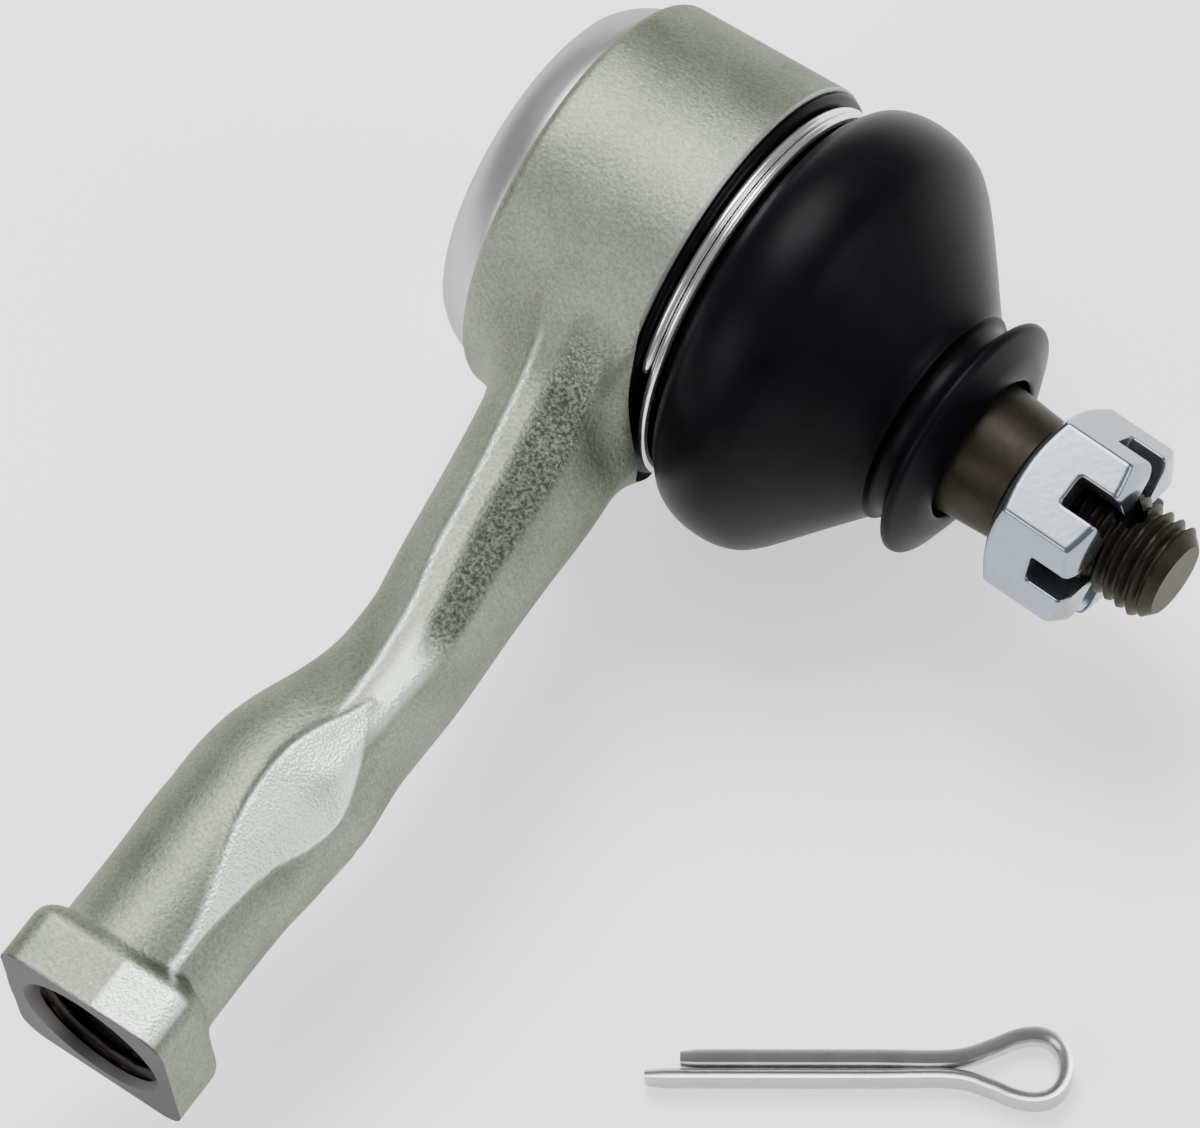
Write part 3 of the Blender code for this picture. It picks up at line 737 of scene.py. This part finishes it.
class Nodes:
    """Short calls for making a material's nodes."""

    def __init__(self, name):
        self.material = bpy.data.materials.new(name)
        self.material.use_nodes = True
        self.tree = self.material.node_tree
        self.shader = self.tree.nodes["Principled BSDF"]

    def feed(self, socket, value):
        """Link an output to a socket, or set the socket to a plain value."""
        if isinstance(value, bpy.types.NodeSocket):
            self.tree.links.new(value, socket)
        else:
            socket.default_value = value

    def add(self, kind, **inputs):
        node = self.tree.nodes.new(kind)
        for key, value in inputs.items():
            self.feed(node.inputs[key.replace("_", " ")], value)
        return node

    def set(self, **inputs):
        for key, value in inputs.items():
            self.feed(self.shader.inputs[key.replace("_", " ")], value)

    def place(self):
        return self.add("ShaderNodeTexCoord").outputs["Object"]

    def noise(self, scale, detail=4.0, roughness=0.55):
        node = self.add("ShaderNodeTexNoise", Vector=self.place(), Scale=scale, Detail=detail,
                        Roughness=roughness)
        return node.outputs["Fac"]

    def cells(self, scale):
        return self.add("ShaderNodeTexVoronoi", Vector=self.place(), Scale=scale).outputs["Distance"]

    def attribute(self, name):
        node = self.tree.nodes.new("ShaderNodeAttribute")
        node.attribute_name = name
        return node.outputs["Fac"]

    def math(self, operation, a, b=0.0):
        node = self.tree.nodes.new("ShaderNodeMath")
        node.operation = operation
        for socket, value in zip(node.inputs, (a, b)):
            self.feed(socket, value)
        return node.outputs[0]

    def ramp(self, value, stops):
        node = self.tree.nodes.new("ShaderNodeValToRGB")
        self.tree.links.new(value, node.inputs[0])
        elements = node.color_ramp.elements
        while len(elements) < len(stops):
            elements.new(0.5)
        for element, (position, color) in zip(elements, stops):
            element.position = position
            element.color = (*color, 1.0)
        return node.outputs["Color"]

    def mix(self, factor, a, b, blend="MIX"):
        """Blend colour b over colour a; each is an output or a plain colour."""
        node = self.tree.nodes.new("ShaderNodeMix")
        node.data_type = "RGBA"
        node.blend_type = blend
        self.feed(node.inputs[0], factor)
        for index, color in ((6, a), (7, b)):
            self.feed(node.inputs[index], (*color, 1.0) if isinstance(color, tuple) else color)
        return node.outputs[2]

    def bump(self, height, strength, distance):
        node = self.add("ShaderNodeBump", Height=height, Strength=strength, Distance=distance)
        return node.outputs["Normal"]


def forged_material():
    """Shot-blasted and lightly plated forging, rough at the trimmed flash and smooth where machined, with a
    painted highlight on the neck's ridge and painted shade in the tapped hole.
    """
    n = Nodes("forged_steel_look")
    rough = n.attribute("rough")
    trimmed = n.attribute("trimmed")
    machined = n.attribute("machined")
    grain = n.noise(3200, 3, 0.6)
    gravelly = n.noise(2600, 3, 0.65)
    base = n.ramp(n.noise(160, 3), [(0.3, (0.20, 0.225, 0.170)), (0.5, (0.233, 0.261, 0.202)),
                                    (0.72, (0.262, 0.29, 0.23))])
    speck = n.ramp(grain, [(0.35, (0.62, 0.62, 0.60)), (0.5, (0.95, 0.95, 0.95)), (0.68, (1.35, 1.35, 1.35))])
    pits = n.ramp(gravelly, [(0.4, (0.36, 0.39, 0.40)), (0.52, (0.8, 0.8, 0.8)), (0.64, (1.3, 1.3, 1.3))])
    color = n.mix(0.6, base, speck, "MULTIPLY")
    # The trimmed attribute holds the trimmed flash and also the painted highlight stripe along the neck's
    # ridge.
    color = n.mix(trimmed, color, (0.88, 0.98, 0.86))
    color = n.mix(machined, color, (0.43, 0.44, 0.43))
    color = n.mix(n.attribute("end_face"), color, (0.085, 0.082, 0.087))
    # The bore attribute paints shade: a near-black colour on the tapped hole's wall.
    color = n.mix(n.attribute("bore"), color, (0.045, 0.04, 0.036))
    color = n.mix(rough, color, pits, "MULTIPLY")
    fine = n.math("MULTIPLY", n.noise(2200, 4, 0.6), 0.45)
    coarse = n.math("MULTIPLY", gravelly, n.math("MULTIPLY", rough, 4.2))
    gravel = n.math("MULTIPLY", n.cells(3600), n.math("MULTIPLY", trimmed, 0.5))
    height = n.math("ADD", n.math("ADD", fine, coarse), gravel)
    height = n.math("MULTIPLY", height, n.math("SUBTRACT", 1.0, n.math("MULTIPLY", machined, 0.95)))
    roughness = n.math("SUBTRACT", 0.5, n.math("MULTIPLY", machined, 0.1))
    n.set(Base_Color=color, Metallic=1.0, Roughness=roughness, Specular_Tint=(0.55, 0.56, 0.54, 1),
          Normal=n.bump(height, 0.7, 0.0002))
    return n.material


def stud_material():
    """Dark browned steel with small spots of rust."""
    n = Nodes("stud_steel_look")
    spots = n.noise(420, 4, 0.6)
    base = n.ramp(spots, [(0.3, (0.018, 0.0155, 0.012)), (0.55, (0.027, 0.0235, 0.018)),
                          (0.7, (0.034, 0.026, 0.018)), (0.85, (0.075, 0.034, 0.016))])
    n.set(Base_Color=base, Metallic=0.5, Roughness=0.42, Specular_IOR_Level=0.22,
          Specular_Tint=(0.6, 0.56, 0.5, 1), Normal=n.bump(n.noise(1500, 3), 0.25, 0.00008))
    return n.material


def zinc_material(name, color, roughness):
    """Bright plate with faint clouds."""
    n = Nodes(name)
    cloud = n.noise(300, 3)
    darker = tuple(c * 0.86 for c in color)
    base = n.ramp(cloud, [(0.3, darker), (0.7, color)])
    n.set(Base_Color=base, Metallic=0.9, Roughness=roughness, Normal=n.bump(n.noise(1400, 3), 0.12, 0.00006))
    return n.material


def rubber_material():
    """Black moulded rubber with a soft sheen."""
    n = Nodes("boot_rubber_look")
    cloud = n.noise(220, 3)
    base = n.ramp(cloud, [(0.3, (0.0025, 0.0025, 0.0035)), (0.75, (0.0045, 0.0048, 0.0065))])
    n.set(Base_Color=base, Roughness=0.38, Specular_IOR_Level=0.06,
          Normal=n.bump(n.noise(1800, 3), 0.12, 0.00006))
    return n.material


def plain_material(name, color, metallic, roughness):
    """Evenly finished metal or plastic, with faint clouds and grain."""
    n = Nodes(name)
    base = n.ramp(n.noise(400, 3), [(0.3, tuple(c * 0.85 for c in color)), (0.7, color)])
    n.set(Base_Color=base, Metallic=metallic, Roughness=roughness,
          Normal=n.bump(n.noise(1500, 2), 0.15, 0.00006))
    return n.material


def finish_inner_parts():
    """Materials of the CAD nodes that stay as they are."""
    looks = {
        "cover_plate": plain_material("cover_plate_look", (0.46, 0.47, 0.45), 0.8, 0.42),
        "disc_spring": plain_material("disc_spring_look", (0.2, 0.2, 0.22), 0.85, 0.35),
        "boot_lip_ring": plain_material("lip_ring_look", (0.05, 0.05, 0.055), 0.5, 0.45),
        "lower_seat": plain_material("lower_seat_look", (0.8, 0.78, 0.7), 0.0, 0.45),
        "upper_seat": plain_material("upper_seat_look", (0.8, 0.78, 0.7), 0.0, 0.45),
    }
    for name, material in looks.items():
        node = frame["nodes"][name]
        node.data.materials.clear()
        node.data.materials.append(material)


# Stage ----------------------------------------------------------------------------------------------

CAMERA_PLACE = Vector((199.44, -225.15, 520.66)) * MM
CAMERA_RIGHT = Vector((0.8156, 0.5761, -0.0545))
CAMERA_UP = Vector((-0.4973, 0.7460, 0.4430))
LENS = 193.7
SENSOR_WIDTH = 36.0
LIGHTS_AIM = Vector((30, -30, 0)) * MM
WORLD_STRENGTH = 0.28
FLOOR_HALF = 3000


def add_camera():
    """A long lens above and beside the part."""
    camera = bpy.data.objects.new("camera", bpy.data.cameras.new("camera"))
    camera.data.lens = LENS
    camera.data.sensor_width = SENSOR_WIDTH
    right = CAMERA_RIGHT.normalized()
    back = right.cross(CAMERA_UP).normalized()
    up = back.cross(right)
    turn = Matrix((right, up, back)).transposed().to_4x4()
    camera.matrix_world = Matrix.Translation(CAMERA_PLACE) @ turn
    camera.data.clip_start = 0.01
    bpy.context.scene.collection.objects.link(camera)
    bpy.context.scene.camera = camera


def add_area(name, place, size, power, color=(1, 1, 1)):
    """A square soft light, aimed at the part."""
    light = bpy.data.lights.new(name, "AREA")
    light.size = size
    light.energy = power
    light.color = color
    obj = bpy.data.objects.new(name, light)
    obj.location = place
    obj.rotation_euler = (Vector(place) - LIGHTS_AIM).to_track_quat("Z", "Y").to_euler()
    bpy.context.scene.collection.objects.link(obj)


def add_stage():
    """A pale floor, a white world and three soft lights."""
    corners = [(x * FLOOR_HALF, y * FLOOR_HALF, 0) for x, y in ((-1, -1), (1, -1), (1, 1), (-1, 1))]
    floor = mesh_object("floor", corners, [(0, 1, 2, 3)])
    floor.location.z = FLOOR_Z
    n = Nodes("floor_look")
    tone = n.ramp(n.noise(8, 2), [(0.3, (0.93, 0.93, 0.93)), (0.7, (0.95, 0.95, 0.95))])
    n.set(Base_Color=tone, Roughness=0.8, Emission_Color=(1, 1, 1, 1), Emission_Strength=0.9)
    floor.data.materials.append(n.material)
    world = bpy.data.worlds.new("studio")
    world.use_nodes = True
    background = world.node_tree.nodes["Background"]
    background.inputs["Color"].default_value = (1, 1, 1, 1)
    background.inputs["Strength"].default_value = WORLD_STRENGTH
    bpy.context.scene.world = world
    add_area("key_light", (-0.16, 0.16, 0.52), 0.35, 4.7)
    add_area("side_light", (0.48, 0.16, 0.34), 0.3, 1.1, (0.95, 0.97, 1.0))
    add_area("front_light", (-0.2, -0.5, 0.34), 0.3, 1.35)


add_camera()
add_stage()
build_housing()
build_stud()
build_nut()
build_pin()
build_boot()
build_clip()
finish_inner_parts()
